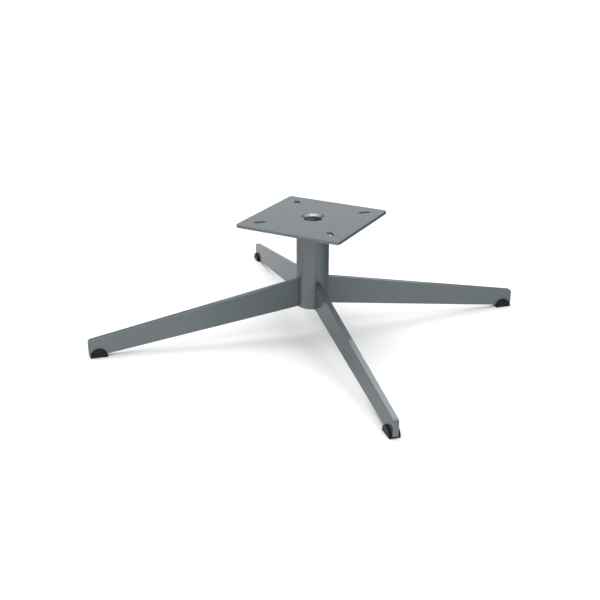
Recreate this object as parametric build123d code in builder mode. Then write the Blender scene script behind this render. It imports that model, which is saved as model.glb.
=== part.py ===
from build123d import *
import os
from math import atan, degrees

# A low star base for a sofa or armchair: a square top plate welded to a short round column,
# four tapered flat arms welded to the column, and a plastic glide clipped under each arm's end.
# Millimetres, +Z up, origin on the floor under the column's axis. The arms lie along X and Y,
# and the plate is turned so that its corners point along them.

# Top plate
seat_height = 185.0  # floor to the plate's upper face
plate_side = 170.0
plate_thickness = 5.0
plate_corner_radius = 5.0
plate_edge_chamfer = 0.4

# Fixing slots, one towards each corner
slot_width = 8.5
slot_length = 18.5  # end to end
slot_circle_radius = 82.0  # plate's centre to a slot's centre

# Dished hole in the plate's middle
centre_hole_radius = 13.2
dish_radius = 19.0
dish_depth = 2.6
dish_lip_radius = 2.5
hole_lip_radius = 0.8

# Column, a round tube
column_diameter = 50.0
column_wall = 3.0
column_foot_height = 44.0  # floor to the tube's lower end
column_edge_chamfer = 0.4

# Arms, cut from flat bar
arm_thickness = 8.0
arm_reach = 347.5  # column's axis to the arm's end face
arm_root_depth = 44.5  # where the arm meets the column
arm_tip_depth = 23.8
arm_land_length = 27.0  # level stretch that stands in the glide
arm_shoulder_radius = 5.0  # upper corner of the end
arm_toe_radius = 1.5  # lower corner of the end
arm_edge_chamfer = 0.4

# Glides, half-round blocks with a groove for the arm
glide_radius = 13.0
glide_width = 16.0
glide_web = 3.5  # between the arm and the floor
glide_setback = 1.9  # glide's outer end to the arm's end face
glide_groove_clearance = 0.1  # on each side of the arm
glide_edge_chamfer = 0.7

# Derived sizes
plate_underside = seat_height - plate_thickness
column_radius = column_diameter / 2
column_bore_radius = column_radius - column_wall
column_length = plate_underside - column_foot_height
arm_root_top = column_foot_height + arm_root_depth
arm_tip_top = glide_web + arm_tip_depth
arm_heel = arm_reach - arm_land_length
upper_fall = (arm_root_top - arm_tip_top) / (arm_reach - column_radius)
lower_fall = (column_foot_height - glide_web) / (arm_heel - column_radius)
glide_centre = arm_reach - glide_setback - glide_radius
groove_width = arm_thickness + 2 * glide_groove_clearance
dish_angle = 2 * degrees(atan((dish_radius - centre_hole_radius) / dish_depth))

# Headings of the four arms about the column, anticlockwise from +X
headings = {"right": 0, "back": 90, "left": 180, "front": 270}

os.makedirs("parts", exist_ok=True)


# Top plate: rounded square blank, radial slots, dished hole with soft lips
with BuildPart() as top_plate:
    with BuildSketch(Plane.XY.offset(plate_underside)):
        RectangleRounded(plate_side, plate_side, plate_corner_radius, rotation=45)
    extrude(amount=plate_thickness)
    blank_faces = top_plate.faces().filter_by(Axis.Z)
    chamfer(blank_faces.edges(), length=plate_edge_chamfer)
    with BuildSketch(Plane.XY.offset(plate_underside)):
        with PolarLocations(slot_circle_radius, 4):
            SlotOverall(slot_length, slot_width)
    extrude(amount=plate_thickness, mode=Mode.SUBTRACT)
    with Locations((0, 0, seat_height)):
        CounterSinkHole(centre_hole_radius, dish_radius, counter_sink_angle=dish_angle)
    dish_wall = top_plate.faces().filter_by(GeomType.CONE).sort_by(SortBy.AREA)[-1]
    hole_rim, dish_rim = dish_wall.edges().filter_by(GeomType.CIRCLE).sort_by(Axis.Z)
    fillet(dish_rim, radius=dish_lip_radius)
    dish_wall = top_plate.faces().filter_by(GeomType.CONE).sort_by(SortBy.AREA)[-1]
    fillet(dish_wall.edges().filter_by(GeomType.CIRCLE).sort_by(Axis.Z)[0], radius=hole_lip_radius)
top_plate.part.label = "top_plate"
export_step(top_plate.part, "parts/top_plate.step")


# Column: a tube from below the plate to the arms' lower edges, open at its foot
with BuildPart() as column:
    with BuildSketch(Plane.XY.offset(column_foot_height)):
        Circle(column_radius)
        Circle(column_bore_radius, mode=Mode.SUBTRACT)
    extrude(amount=column_length)
    foot_face = column.faces().sort_by(Axis.Z)[0]
    chamfer(foot_face.edges(), length=column_edge_chamfer)
column.part.label = "column"
export_step(column.part, "parts/column.step")


# Arm pattern along +X: the side profile runs to the column's axis, and the column's
# round then copes its inner end so that it seats on the tube all over
with BuildPart() as arm:
    with BuildSketch(Plane.XZ):
        with BuildLine():
            Polyline(
                (0, column_foot_height + lower_fall * column_radius),
                (arm_heel, glide_web),
                (arm_reach, glide_web),
                (arm_reach, arm_tip_top),
                (0, arm_root_top + upper_fall * column_radius),
                close=True,
            )
        make_face()
        fillet(vertices().group_by(Axis.X)[-1].sort_by(Axis.Y)[-1], radius=arm_shoulder_radius)
        fillet(vertices().group_by(Axis.X)[-1].sort_by(Axis.Y)[0], radius=arm_toe_radius)
    extrude(amount=arm_thickness / 2, both=True)
    chamfer(arm.faces().filter_by(Axis.Y).edges(), length=arm_edge_chamfer)
    Cylinder(column_radius, 2 * seat_height, mode=Mode.SUBTRACT)

for side, heading in headings.items():
    with BuildPart() as placed_arm:
        add(arm.part, rotation=(0, 0, heading))
    placed_arm.part.label = f"arm_{side}"
    export_step(placed_arm.part, f"parts/arm_{side}.step")


# Glide pattern under the +X arm: half a disc on the floor, chamfered all round, with a
# groove down to the web that the arm's level stretch stands on
with BuildPart() as glide:
    with BuildSketch(Plane.XZ):
        with BuildLine():
            CenterArc((glide_centre, 0), glide_radius, 0, 180)
            Line((glide_centre - glide_radius, 0), (glide_centre + glide_radius, 0))
        make_face()
    extrude(amount=glide_width / 2, both=True)
    chamfer(glide.edges(), length=glide_edge_chamfer)
    with BuildSketch(Plane.XY.offset(glide_web)):
        with Locations((glide_centre, 0)):
            Rectangle(2 * glide_radius, groove_width)
    extrude(amount=glide_radius, mode=Mode.SUBTRACT)

for side, heading in headings.items():
    with BuildPart() as placed_glide:
        add(glide.part, rotation=(0, 0, heading))
    placed_glide.part.label = f"glide_{side}"
    export_step(placed_glide.part, f"parts/glide_{side}.step")
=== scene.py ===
"""Looks of a low star base for a sofa: powder-coated steel on black plastic glides."""

import math

import bpy
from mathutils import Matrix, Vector

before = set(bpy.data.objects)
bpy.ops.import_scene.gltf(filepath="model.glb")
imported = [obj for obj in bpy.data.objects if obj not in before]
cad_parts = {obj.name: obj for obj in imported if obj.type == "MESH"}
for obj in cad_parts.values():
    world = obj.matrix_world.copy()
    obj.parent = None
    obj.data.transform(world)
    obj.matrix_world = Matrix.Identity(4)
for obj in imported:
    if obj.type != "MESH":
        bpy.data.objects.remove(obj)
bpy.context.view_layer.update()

bl_info = {
    "name": "Sofa Base Looks",
    "version": (1, 0, 0),
    "blender": (4, 5, 0),
    "location": "View3D > Sidebar > Sofa Base",
    "description": "Finishes and photo stage for a welded sofa base with clip-on glides",
    "category": "Object",
}

ARMS = ("arm_right", "arm_back", "arm_left", "arm_front")
GLIDES = ("glide_right", "glide_back", "glide_left", "glide_front")

# Finishes: refraction, roughness from low to high, and width of the slow drift in metres
COAT_IOR = 1.5
GLIDE_IOR = 1.18
BORE_GLOSS = (0.35, 0.55)
GLIDE_GLOSS = (0.3, 0.38)
PLATE_DRIFT = 0.09
COLUMN_DRIFT = 0.05
ARM_DRIFT = 0.07
BORE_DRIFT = 0.012
GLIDE_DRIFT = 0.004

# Noise: how fine it is, and the span that the drift stretches to its full run
DRIFT_DETAIL = 3.0
RELIEF_DETAIL = 2.0
NOISE_SPAN = (0.3, 0.7)

# Floor: side in metres, roughness, and the share of the shade's width that is evenly dark
FLOOR_SIDE = 30.0
PAPER_ROUGHNESS = 0.9
SHADE_CORE = 0.2

# Camera: width of the sensor in millimetres
SENSOR_WIDTH = 36.0

# Soft boxes: turn to the right of the camera's line of sight, and rise off the floor
FRONT_TURN, FRONT_RISE = math.radians(155), math.radians(16)
LEFT_TURN, LEFT_RISE = math.radians(-45), math.radians(52)
CARD_RISE = math.radians(12)
LAMP_RISE = math.radians(68)

# Room: upward part of a direction where the ceiling or the glow from below starts and is full
CEILING_SPAN = (0.6, 1.0)
MIRRORED_CEILING_SPAN = (0.68, 0.738)
DOWN_SPAN = (-0.35, -1.0)

# Glows below the horizon: cosine of the angle off their middle where they start and are
# full. The back glow is turned from the line of sight, and the gap clockwise from +Y.
SIDE_SPAN = (-0.5, 0.7)
BACK_TURN = math.radians(-30)
BACK_SPAN = (0.9, 0.96)
GAP_HEADING, GAP_DIP = math.radians(165), math.radians(22.5)
GAP_SPAN = (0.9952, 0.9993)


# Settings


class SteelCoatSettings(bpy.types.PropertyGroup):
    """Powder coat on the plate, the column and the arms"""

    tone: bpy.props.FloatVectorProperty(
        name="Tone",
        description="Main colour of the powder coat",
        subtype="COLOR",
        size=3,
        min=0.0,
        max=1.0,
        default=(0.088, 0.108, 0.120),
    )
    drift_tone: bpy.props.FloatVectorProperty(
        name="Drift tone",
        description="Colour that the coat drifts to where it lies thinner",
        subtype="COLOR",
        size=3,
        min=0.0,
        max=1.0,
        default=(0.093, 0.114, 0.126),
    )
    gloss_low: bpy.props.FloatProperty(
        name="Smoothest",
        description="Roughness where the coat flowed out well",
        subtype="FACTOR",
        min=0.0,
        max=1.0,
        default=0.07,
    )
    gloss_high: bpy.props.FloatProperty(
        name="Roughest",
        description="Roughness where the coat is dry",
        subtype="FACTOR",
        min=0.0,
        max=1.0,
        default=0.1,
    )
    bore_tone: bpy.props.FloatVectorProperty(
        name="Bare steel",
        description="Colour of the tube's bare inner wall",
        subtype="COLOR",
        size=3,
        min=0.0,
        max=1.0,
        default=(0.5, 0.53, 0.58),
    )
    bore_drift_tone: bpy.props.FloatVectorProperty(
        name="Dull steel",
        description="Colour that the bare wall drifts to",
        subtype="COLOR",
        size=3,
        min=0.0,
        max=1.0,
        default=(0.34, 0.36, 0.4),
    )
    bore_radius: bpy.props.FloatProperty(
        name="Bore",
        description="Radius within which the column is bare",
        unit="LENGTH",
        min=0.0,
        default=0.0225,
    )
    peel_width: bpy.props.FloatProperty(
        name="Peel width",
        description="Width of one dimple of the coat's orange peel",
        unit="LENGTH",
        min=0.0002,
        max=0.01,
        default=0.0016,
    )
    peel_height: bpy.props.FloatProperty(
        name="Peel height",
        description="Height of the coat's orange peel",
        unit="LENGTH",
        min=0.0,
        max=0.001,
        precision=6,
        default=0.00001,
    )


class GlideSettings(bpy.types.PropertyGroup):
    """Moulded plastic of the glides"""

    tone: bpy.props.FloatVectorProperty(
        name="Tone",
        description="Colour of the moulded plastic",
        subtype="COLOR",
        size=3,
        min=0.0,
        max=1.0,
        default=(0.008, 0.009, 0.010),
    )
    grain_tone: bpy.props.FloatVectorProperty(
        name="Grain tone",
        description="Colour on the tops of the moulded grain",
        subtype="COLOR",
        size=3,
        min=0.0,
        max=1.0,
        default=(0.012, 0.013, 0.014),
    )
    grain_width: bpy.props.FloatProperty(
        name="Grain width",
        description="Width of one grain of the mould's texture",
        unit="LENGTH",
        min=0.0001,
        max=0.01,
        default=0.0006,
    )
    grain_height: bpy.props.FloatProperty(
        name="Grain height",
        description="Height of the mould's texture",
        unit="LENGTH",
        min=0.0,
        max=0.001,
        precision=6,
        default=0.00002,
    )


class StageSettings(bpy.types.PropertyGroup):
    """Floor, light and camera"""

    floor_tone: bpy.props.FloatVectorProperty(
        name="Floor",
        description="Colour of the floor",
        subtype="COLOR",
        size=3,
        min=0.0,
        max=1.0,
        default=(0.79, 0.79, 0.79),
    )
    bounce_tone: bpy.props.FloatVectorProperty(
        name="Bounce",
        description="Colour of the floor in the light that it throws back onto the base",
        subtype="COLOR",
        size=3,
        min=0.0,
        max=1.0,
        default=(0.58, 0.58, 0.58),
    )
    ceiling_glow: bpy.props.FloatProperty(
        name="Ceiling glow",
        description="Brightness of the white ceiling straight overhead",
        min=0.0,
        default=2.95,
    )
    ceiling_mirror: bpy.props.FloatProperty(
        name="Mirrored ceiling",
        description="Brightness of the ceiling in reflections",
        min=0.0,
        default=3.8,
    )
    wall_glow: bpy.props.FloatProperty(
        name="Wall glow",
        description="Brightness of the dim walls round the stage",
        min=0.0,
        default=0.5,
    )
    wall_mirror: bpy.props.FloatProperty(
        name="Mirrored walls",
        description="Brightness of the walls in reflections",
        min=0.0,
        default=0.1,
    )
    shade_place: bpy.props.FloatVectorProperty(
        name="Shade",
        description="Middle of the mirrored shade on the floor",
        subtype="XYZ",
        unit="LENGTH",
        size=2,
        default=(0.03, -0.11),
    )
    shade_width: bpy.props.FloatProperty(
        name="Shade width",
        description="Radius at which the mirrored shade ends",
        unit="LENGTH",
        min=0.01,
        default=0.09,
    )
    shade_glow: bpy.props.FloatProperty(
        name="Shade depth",
        description="Share of the mirrored glow that is left in the middle of the shade",
        min=0.0,
        max=1.0,
        default=0.6,
    )
    mirror_turn: bpy.props.FloatProperty(
        name="Mirrored side",
        description="Where the glow below the horizon is brightest, clockwise from the line of sight",
        unit="ROTATION",
        default=math.radians(210),
    )
    mirror_glow: bpy.props.FloatProperty(
        name="Mirrored glow",
        description="Brightest glow that the coat mirrors in place of the floor",
        min=0.0,
        default=1.86,
    )
    mirror_back: bpy.props.FloatProperty(
        name="Mirrored back",
        description="Small glow below the horizon, behind the base and to its left",
        min=0.0,
        default=1.22,
    )
    mirror_gap: bpy.props.FloatProperty(
        name="Mirrored gap",
        description="What the glow loses in a narrow gap that the arms' faces mirror beside the column",
        min=0.0,
        default=0.8,
    )
    mirror_down: bpy.props.FloatProperty(
        name="Mirrored below",
        description="Glow that the coat mirrors from straight below",
        min=0.0,
        default=2.2,
    )
    front_glow: bpy.props.FloatProperty(
        name="Front box",
        description="Brightness of the soft box beside the camera",
        min=0.0,
        default=4.0,
    )
    left_glow: bpy.props.FloatProperty(
        name="Left glow",
        description="Brightness of the soft box behind and to the left, which shades the floor",
        min=0.0,
        default=3.2,
    )
    card_glow: bpy.props.FloatProperty(
        name="Back card",
        description="Brightness of the pale card low behind the base",
        min=0.0,
        default=0.63,
    )
    card_side: bpy.props.FloatProperty(
        name="Card side",
        description="Side of the back card",
        unit="LENGTH",
        min=0.1,
        default=1.8,
    )
    lamp_glow: bpy.props.FloatProperty(
        name="High lamp",
        description="Brightness of the small soft box above, a little behind the base",
        min=0.0,
        default=6.5,
    )
    lamp_side: bpy.props.FloatProperty(
        name="Lamp side",
        description="Side of the high lamp's square face",
        unit="LENGTH",
        min=0.1,
        default=1.0,
    )
    box_side: bpy.props.FloatProperty(
        name="Box side",
        description="Side of each square soft box",
        unit="LENGTH",
        min=0.01,
        default=1.5,
    )
    box_distance: bpy.props.FloatProperty(
        name="Box distance",
        description="Distance of each soft box from the base",
        unit="LENGTH",
        min=0.1,
        default=3.0,
    )
    camera_place: bpy.props.FloatVectorProperty(
        name="Camera place",
        description="Where the camera stands",
        subtype="TRANSLATION",
        unit="LENGTH",
        size=3,
        default=(-0.40244, -1.26669, 0.60835),
    )
    camera_turn: bpy.props.FloatProperty(
        name="Camera turn",
        description="How far the camera looks to the right of +Y",
        unit="ROTATION",
        default=0.29301,
    )
    camera_dip: bpy.props.FloatProperty(
        name="Camera dip",
        description="How far the camera looks down",
        unit="ROTATION",
        default=0.39795,
    )
    camera_lens: bpy.props.FloatProperty(
        name="Lens",
        description="Focal length for a sensor 36 mm wide",
        unit="CAMERA",
        min=1.0,
        default=55.287,
    )


# Shared effects


def new_group(name, inputs, outputs):
    """An empty shader group with the given sockets, and its input and output nodes."""
    group = bpy.data.node_groups.new(name, "ShaderNodeTree")
    for label, kind in inputs:
        group.interface.new_socket(name=label, in_out="INPUT", socket_type=kind)
    for label, kind in outputs:
        group.interface.new_socket(name=label, in_out="OUTPUT", socket_type=kind)
    return group, group.nodes.new("NodeGroupInput"), group.nodes.new("NodeGroupOutput")


def add_node(tree, kind, **values):
    """A node with its attributes set."""
    node = tree.nodes.new(kind)
    for key, value in values.items():
        setattr(node, key, value)
    return node


def ramp(tree, span, ends=(0.0, 1.0), **values):
    """A node that turns a span of its input into a run between two ends."""
    node = add_node(tree, "ShaderNodeMapRange", **values)
    node.inputs["From Min"].default_value, node.inputs["From Max"].default_value = span
    node.inputs["To Min"].default_value, node.inputs["To Max"].default_value = ends
    return node


def object_noise(tree, width_source, detail):
    """Noise in object space whose features are as wide as the socket says."""
    links = tree.links
    place = add_node(tree, "ShaderNodeTexCoord")
    rate = add_node(tree, "ShaderNodeMath", operation="DIVIDE")
    rate.inputs[0].default_value = 1.0
    noise = add_node(tree, "ShaderNodeTexNoise", noise_dimensions="3D")
    noise.inputs["Detail"].default_value = detail
    links.new(width_source, rate.inputs[1])
    links.new(place.outputs["Object"], noise.inputs["Vector"])
    links.new(rate.outputs[0], noise.inputs["Scale"])
    return noise


def drift_group():
    """Slow drift of colour and gloss over a surface."""
    group, start, end = new_group(
        "slow_drift",
        [
            ("Tone", "NodeSocketColor"),
            ("Drift Tone", "NodeSocketColor"),
            ("Low", "NodeSocketFloat"),
            ("High", "NodeSocketFloat"),
            ("Width", "NodeSocketFloat"),
        ],
        [("Color", "NodeSocketColor"), ("Roughness", "NodeSocketFloat")],
    )
    links = group.links
    noise = object_noise(group, start.outputs["Width"], DRIFT_DETAIL)
    spread = ramp(group, NOISE_SPAN)
    mix = add_node(group, "ShaderNodeMix", data_type="RGBA")
    gloss = ramp(group, (0.0, 1.0))
    links.new(noise.outputs["Fac"], spread.inputs["Value"])
    links.new(spread.outputs["Result"], mix.inputs["Factor"])
    links.new(start.outputs["Tone"], mix.inputs["A"])
    links.new(start.outputs["Drift Tone"], mix.inputs["B"])
    links.new(spread.outputs["Result"], gloss.inputs["Value"])
    links.new(start.outputs["Low"], gloss.inputs["To Min"])
    links.new(start.outputs["High"], gloss.inputs["To Max"])
    links.new(mix.outputs["Result"], end.inputs["Color"])
    links.new(gloss.outputs["Result"], end.inputs["Roughness"])
    return group


def grain_group():
    """Fine relief, from orange peel to moulded grain."""
    group, start, end = new_group(
        "fine_relief",
        [("Width", "NodeSocketFloat")],
        [("Height", "NodeSocketFloat")],
    )
    noise = object_noise(group, start.outputs["Width"], RELIEF_DETAIL)
    group.links.new(noise.outputs["Fac"], end.inputs["Height"])
    return group


def bore_group():
    """Mask of what lies within a given radius of an upright axis."""
    group, start, end = new_group(
        "round_bore",
        [("Radius", "NodeSocketFloat")],
        [("Mask", "NodeSocketFloat")],
    )
    links = group.links
    place = add_node(group, "ShaderNodeTexCoord")
    level = add_node(group, "ShaderNodeVectorMath", operation="MULTIPLY")
    level.inputs[1].default_value = (1.0, 1.0, 0.0)
    reach = add_node(group, "ShaderNodeVectorMath", operation="LENGTH")
    inside = add_node(group, "ShaderNodeMath", operation="LESS_THAN")
    links.new(place.outputs["Object"], level.inputs[0])
    links.new(level.outputs["Vector"], reach.inputs[0])
    links.new(reach.outputs["Value"], inside.inputs[0])
    links.new(start.outputs["Radius"], inside.inputs[1])
    links.new(inside.outputs["Value"], end.inputs["Mask"])
    return group


def shared(name, maker):
    """The group of that name, made on its first use."""
    return bpy.data.node_groups.get(name) or maker()


def place_group(tree, group, **values):
    """The group in a material, with its own values."""
    node = tree.nodes.new("ShaderNodeGroup")
    node.node_tree = group
    for key, value in values.items():
        node.inputs[key.replace("_", " ")].default_value = value
    return node


def drifting(tree, tone, drift_tone, gloss, drift):
    """The slow drift between two tones and two roughnesses, placed in a material."""
    return place_group(
        tree,
        shared("slow_drift", drift_group),
        Tone=(*tone, 1.0),
        Drift_Tone=(*drift_tone, 1.0),
        Low=gloss[0],
        High=gloss[1],
        Width=drift,
    )


def finish_material(name, tone, drift_tone, gloss, drift, grain, height, ior):
    """A painted or moulded finish: slow drift in colour and gloss over a fine relief."""
    material = bpy.data.materials.new(name)
    material.use_nodes = True
    tree = material.node_tree
    shader = tree.nodes["Principled BSDF"]
    shader.inputs["IOR"].default_value = ior
    colours = drifting(tree, tone, drift_tone, gloss, drift)
    relief = place_group(tree, shared("fine_relief", grain_group), Width=grain)
    bump = tree.nodes.new("ShaderNodeBump")
    bump.inputs["Strength"].default_value = 1.0
    bump.inputs["Distance"].default_value = height
    tree.links.new(colours.outputs["Color"], shader.inputs["Base Color"])
    tree.links.new(colours.outputs["Roughness"], shader.inputs["Roughness"])
    tree.links.new(relief.outputs["Height"], bump.inputs["Height"])
    tree.links.new(bump.outputs["Normal"], shader.inputs["Normal"])
    return material


def steel_coat(name, drift):
    """Powder coat with its orange peel."""
    coat = bpy.context.scene.sofa_steel
    return finish_material(
        name,
        coat.tone,
        coat.drift_tone,
        (coat.gloss_low, coat.gloss_high),
        drift,
        coat.peel_width,
        coat.peel_height,
        COAT_IOR,
    )


def bare_bore(material):
    """Leaves bare steel within the bore's radius of the column's axis."""
    steel = bpy.context.scene.sofa_steel
    tree = material.node_tree
    links = tree.links
    shader = tree.nodes["Principled BSDF"]
    mask = place_group(tree, shared("round_bore", bore_group), Radius=steel.bore_radius)
    bare = drifting(tree, steel.bore_tone, steel.bore_drift_tone, BORE_GLOSS, BORE_DRIFT)
    colour = add_node(tree, "ShaderNodeMix", data_type="RGBA")
    gloss = add_node(tree, "ShaderNodeMix", data_type="FLOAT")
    links.new(shader.inputs["Base Color"].links[0].from_socket, colour.inputs["A"])
    links.new(shader.inputs["Roughness"].links[0].from_socket, gloss.inputs["A"])
    links.new(bare.outputs["Color"], colour.inputs["B"])
    links.new(bare.outputs["Roughness"], gloss.inputs["B"])
    links.new(mask.outputs["Mask"], colour.inputs["Factor"])
    links.new(mask.outputs["Mask"], gloss.inputs["Factor"])
    links.new(colour.outputs["Result"], shader.inputs["Base Color"])
    links.new(gloss.outputs["Result"], shader.inputs["Roughness"])


def dress(names, material):
    """Gives each CAD node the finish in all its material slots."""
    for name in names:
        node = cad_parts[name]
        if not node.material_slots:
            raise RuntimeError(f"{name} has no material slot")
        for place in node.material_slots:
            place.link = "OBJECT"
            place.material = material


# Stage


def lobe(tree, place, heading, span, glow, dip=0.0):
    """A glow around one heading and dip, from nothing at its edge to full brightness."""
    side = add_node(tree, "ShaderNodeVectorMath", operation="DOT_PRODUCT")
    side.inputs[1].default_value = (
        math.cos(dip) * math.sin(heading),
        math.cos(dip) * math.cos(heading),
        -math.sin(dip),
    )
    fade = ramp(tree, span, (0.0, glow))
    tree.links.new(place.outputs["Generated"], side.inputs[0])
    tree.links.new(side.outputs["Value"], fade.inputs["Value"])
    return fade


def total(tree, sockets):
    """The sum of the sockets, added up in their order."""
    whole = sockets[0]
    for socket in sockets[1:]:
        plus = add_node(tree, "ShaderNodeMath", operation="ADD")
        tree.links.new(whole, plus.inputs[0])
        tree.links.new(socket, plus.inputs[1])
        whole = plus.outputs["Value"]
    return whole


def studio_room(stage):
    """A room with dim walls and a bright ceiling, which the camera sees as plain white.

    Reflections pass the floor. Below it they meet a glow that is bright towards the
    camera's left and dark towards its right, with a narrow gap that darkens the arms'
    faces beside the column.
    """
    room = bpy.data.worlds.new("studio_room")
    room.use_nodes = True
    tree = room.node_tree
    links = tree.links
    light = tree.nodes["Background"]
    white = add_node(tree, "ShaderNodeBackground")
    light.inputs["Color"].default_value = (1.0, 1.0, 1.0, 1.0)
    white.inputs["Color"].default_value = (1.0, 1.0, 1.0, 1.0)
    place = add_node(tree, "ShaderNodeTexCoord")
    split = add_node(tree, "ShaderNodeSeparateXYZ")
    links.new(place.outputs["Generated"], split.inputs["Vector"])
    ray = add_node(tree, "ShaderNodeLightPath")

    glows = (stage.wall_glow, stage.ceiling_glow)
    climb = ramp(tree, CEILING_SPAN, glows, interpolation_type="SMOOTHSTEP")
    mirrored = ramp(tree, MIRRORED_CEILING_SPAN, (stage.wall_mirror, stage.ceiling_mirror))
    over = add_node(tree, "ShaderNodeMix", data_type="FLOAT")
    links.new(split.outputs["Z"], climb.inputs["Value"])
    links.new(split.outputs["Z"], mirrored.inputs["Value"])
    links.new(ray.outputs["Is Glossy Ray"], over.inputs["Factor"])
    links.new(climb.outputs["Result"], over.inputs["A"])
    links.new(mirrored.outputs["Result"], over.inputs["B"])

    side_heading = stage.camera_turn + stage.mirror_turn
    side = lobe(tree, place, side_heading, SIDE_SPAN, stage.mirror_glow)
    back = lobe(tree, place, stage.camera_turn + BACK_TURN, BACK_SPAN, stage.mirror_back)
    gap = lobe(tree, place, GAP_HEADING, GAP_SPAN, -stage.mirror_gap, GAP_DIP)
    down = ramp(tree, DOWN_SPAN, (0.0, stage.mirror_down))
    links.new(split.outputs["Z"], down.inputs["Value"])
    under = total(tree, [glow.outputs["Result"] for glow in (side, back, gap, down)])

    above = add_node(tree, "ShaderNodeMath", operation="GREATER_THAN")
    above.inputs[1].default_value = 0.0
    level = add_node(tree, "ShaderNodeMix", data_type="FLOAT")
    links.new(split.outputs["Z"], above.inputs[0])
    links.new(above.outputs["Value"], level.inputs["Factor"])
    links.new(under, level.inputs["A"])
    links.new(over.outputs["Result"], level.inputs["B"])
    links.new(level.outputs["Result"], light.inputs["Strength"])

    choice = add_node(tree, "ShaderNodeMixShader")
    links.new(ray.outputs["Is Camera Ray"], choice.inputs["Fac"])
    links.new(light.outputs["Background"], choice.inputs[1])
    links.new(white.outputs["Background"], choice.inputs[2])
    links.new(choice.outputs["Shader"], tree.nodes["World Output"].inputs["Surface"])
    return room


def floor_paper(stage):
    """Matt paper that throws back less light than the camera sees on it.

    Reflections pass it, dimmed where the base would shade it.
    """
    paper = bpy.data.materials.new("floor_paper")
    paper.use_nodes = True
    tree = paper.node_tree
    links = tree.links
    shader = tree.nodes["Principled BSDF"]
    shader.inputs["Roughness"].default_value = PAPER_ROUGHNESS
    shader.inputs["Specular IOR Level"].default_value = 0.0

    place = add_node(tree, "ShaderNodeTexCoord")
    reach = add_node(tree, "ShaderNodeVectorMath", operation="DISTANCE")
    reach.inputs[1].default_value = (*stage.shade_place, 0.0)
    span = (SHADE_CORE * stage.shade_width, stage.shade_width)
    shade = ramp(tree, span, (stage.shade_glow, 1.0), interpolation_type="SMOOTHSTEP")
    pane = add_node(tree, "ShaderNodeBsdfTransparent")
    links.new(place.outputs["Object"], reach.inputs[0])
    links.new(reach.outputs["Value"], shade.inputs["Value"])
    links.new(shade.outputs["Result"], pane.inputs["Color"])

    ray = add_node(tree, "ShaderNodeLightPath")
    tone = add_node(tree, "ShaderNodeMix", data_type="RGBA")
    tone.inputs["A"].default_value = (*stage.floor_tone, 1.0)
    tone.inputs["B"].default_value = (*stage.bounce_tone, 1.0)
    links.new(ray.outputs["Is Diffuse Ray"], tone.inputs["Factor"])
    links.new(tone.outputs["Result"], shader.inputs["Base Color"])
    choice = add_node(tree, "ShaderNodeMixShader")
    links.new(ray.outputs["Is Glossy Ray"], choice.inputs["Fac"])
    links.new(shader.outputs["BSDF"], choice.inputs[1])
    links.new(pane.outputs["BSDF"], choice.inputs[2])
    links.new(choice.outputs["Shader"], tree.nodes["Material Output"].inputs["Surface"])
    return paper


def soft_box(stage, name, turn, rise, side, glow):
    """A square soft box, turned from the camera's line of sight and raised off the floor.

    Returns its object.
    """
    box = bpy.data.lights.new(name, "AREA")
    box.shape = "SQUARE"
    box.size = side
    box.energy = math.pi * side**2 * glow
    holder = bpy.data.objects.new(name, box)
    bpy.context.scene.collection.objects.link(holder)
    heading = stage.camera_turn + turn
    away = Vector(
        (math.cos(rise) * math.sin(heading), math.cos(rise) * math.cos(heading), math.sin(rise))
    )
    holder.location = stage.box_distance * away
    holder.rotation_euler = (-away).to_track_quat("-Z", "Y").to_euler()
    return holder


# Pieces


class SOFABASE_OT_top_plate(bpy.types.Operator):
    """Coat the top plate"""

    bl_idname = "sofabase.top_plate"
    bl_label = "Top Plate"

    def execute(self, context):
        dress(["top_plate"], steel_coat("plate_coat", PLATE_DRIFT))
        return {"FINISHED"}


class SOFABASE_OT_column(bpy.types.Operator):
    """Coat the column"""

    bl_idname = "sofabase.column"
    bl_label = "Column"

    def execute(self, context):
        coat = steel_coat("column_coat", COLUMN_DRIFT)
        bare_bore(coat)
        dress(["column"], coat)
        return {"FINISHED"}


class SOFABASE_OT_arms(bpy.types.Operator):
    """Coat the four arms"""

    bl_idname = "sofabase.arms"
    bl_label = "Arms"

    def execute(self, context):
        dress(ARMS, steel_coat("arm_coat", ARM_DRIFT))
        return {"FINISHED"}


class SOFABASE_OT_glides(bpy.types.Operator):
    """Give the glides their moulded plastic"""

    bl_idname = "sofabase.glides"
    bl_label = "Glides"

    def execute(self, context):
        plastic = context.scene.sofa_glides
        moulded = finish_material(
            "moulded_black",
            plastic.tone,
            plastic.grain_tone,
            GLIDE_GLOSS,
            GLIDE_DRIFT,
            plastic.grain_width,
            plastic.grain_height,
            GLIDE_IOR,
        )
        dress(GLIDES, moulded)
        return {"FINISHED"}


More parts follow.
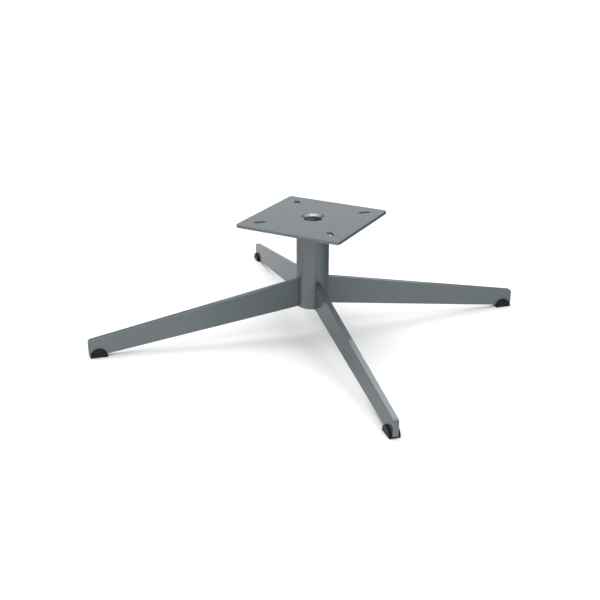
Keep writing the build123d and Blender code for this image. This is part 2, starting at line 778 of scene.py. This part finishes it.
class SOFABASE_OT_stage(bpy.types.Operator):
    """Lay the floor, hang the lights and stand the camera"""

    bl_idname = "sofabase.stage"
    bl_label = "Stage"

    def execute(self, context):
        stage = context.scene.sofa_stage
        scene = context.scene

        bpy.ops.mesh.primitive_plane_add(size=FLOOR_SIDE, location=(0, 0, 0))
        floor = context.object
        floor.name = "floor"
        floor.data.materials.append(floor_paper(stage))

        scene.world = studio_room(stage)
        # Mirrored, the front box would turn the plate white from behind. The high lamp is
        # for the dish's mirrored spot alone, because its light would lean the shadows.
        wide, narrow = stage.box_side, stage.lamp_side
        front = soft_box(stage, "front_box", FRONT_TURN, FRONT_RISE, wide, stage.front_glow)
        left = soft_box(stage, "left_box", LEFT_TURN, LEFT_RISE, wide, stage.left_glow)
        soft_box(stage, "back_card", 0.0, CARD_RISE, stage.card_side, stage.card_glow)
        high = soft_box(stage, "high_lamp", 0.0, LAMP_RISE, narrow, stage.lamp_glow)
        front.visible_glossy = False
        left.visible_glossy = False
        high.visible_diffuse = False

        lens = bpy.data.cameras.new("camera")
        lens.sensor_fit = "HORIZONTAL"
        lens.sensor_width = SENSOR_WIDTH
        lens.lens = stage.camera_lens
        lens.clip_start = 0.01
        camera = bpy.data.objects.new("camera", lens)
        scene.collection.objects.link(camera)
        camera.location = stage.camera_place
        camera.rotation_euler = (math.pi / 2 - stage.camera_dip, 0, -stage.camera_turn)
        scene.camera = camera
        scene.view_settings.view_transform = "Standard"
        return {"FINISHED"}


class SOFABASE_PT_panel(bpy.types.Panel):
    """Buttons for each part of the base"""

    bl_idname = "SOFABASE_PT_panel"
    bl_label = "Sofa Base"
    bl_space_type = "VIEW_3D"
    bl_region_type = "UI"
    bl_category = "Sofa Base"

    def draw(self, context):
        layout = self.layout
        for operator in OPERATORS:
            layout.operator(operator.bl_idname)
        for name in SETTINGS:
            settings = getattr(context.scene, name)
            column = layout.column()
            for key in settings.__annotations__:
                column.prop(settings, key)


SETTINGS = {
    "sofa_steel": SteelCoatSettings,
    "sofa_glides": GlideSettings,
    "sofa_stage": StageSettings,
}
OPERATORS = (
    SOFABASE_OT_top_plate,
    SOFABASE_OT_column,
    SOFABASE_OT_arms,
    SOFABASE_OT_glides,
    SOFABASE_OT_stage,
)


def register():
    for name, group in SETTINGS.items():
        bpy.utils.register_class(group)
        setattr(bpy.types.Scene, name, bpy.props.PointerProperty(type=group))
    for operator in OPERATORS:
        bpy.utils.register_class(operator)
    bpy.utils.register_class(SOFABASE_PT_panel)


def unregister():
    bpy.utils.unregister_class(SOFABASE_PT_panel)
    for operator in reversed(OPERATORS):
        bpy.utils.unregister_class(operator)
    for name, group in reversed(SETTINGS.items()):
        delattr(bpy.types.Scene, name)
        bpy.utils.unregister_class(group)


def main():
    register()
    bpy.ops.sofabase.top_plate()
    bpy.ops.sofabase.column()
    bpy.ops.sofabase.arms()
    bpy.ops.sofabase.glides()
    bpy.ops.sofabase.stage()


if __name__ == "__main__":
    main()
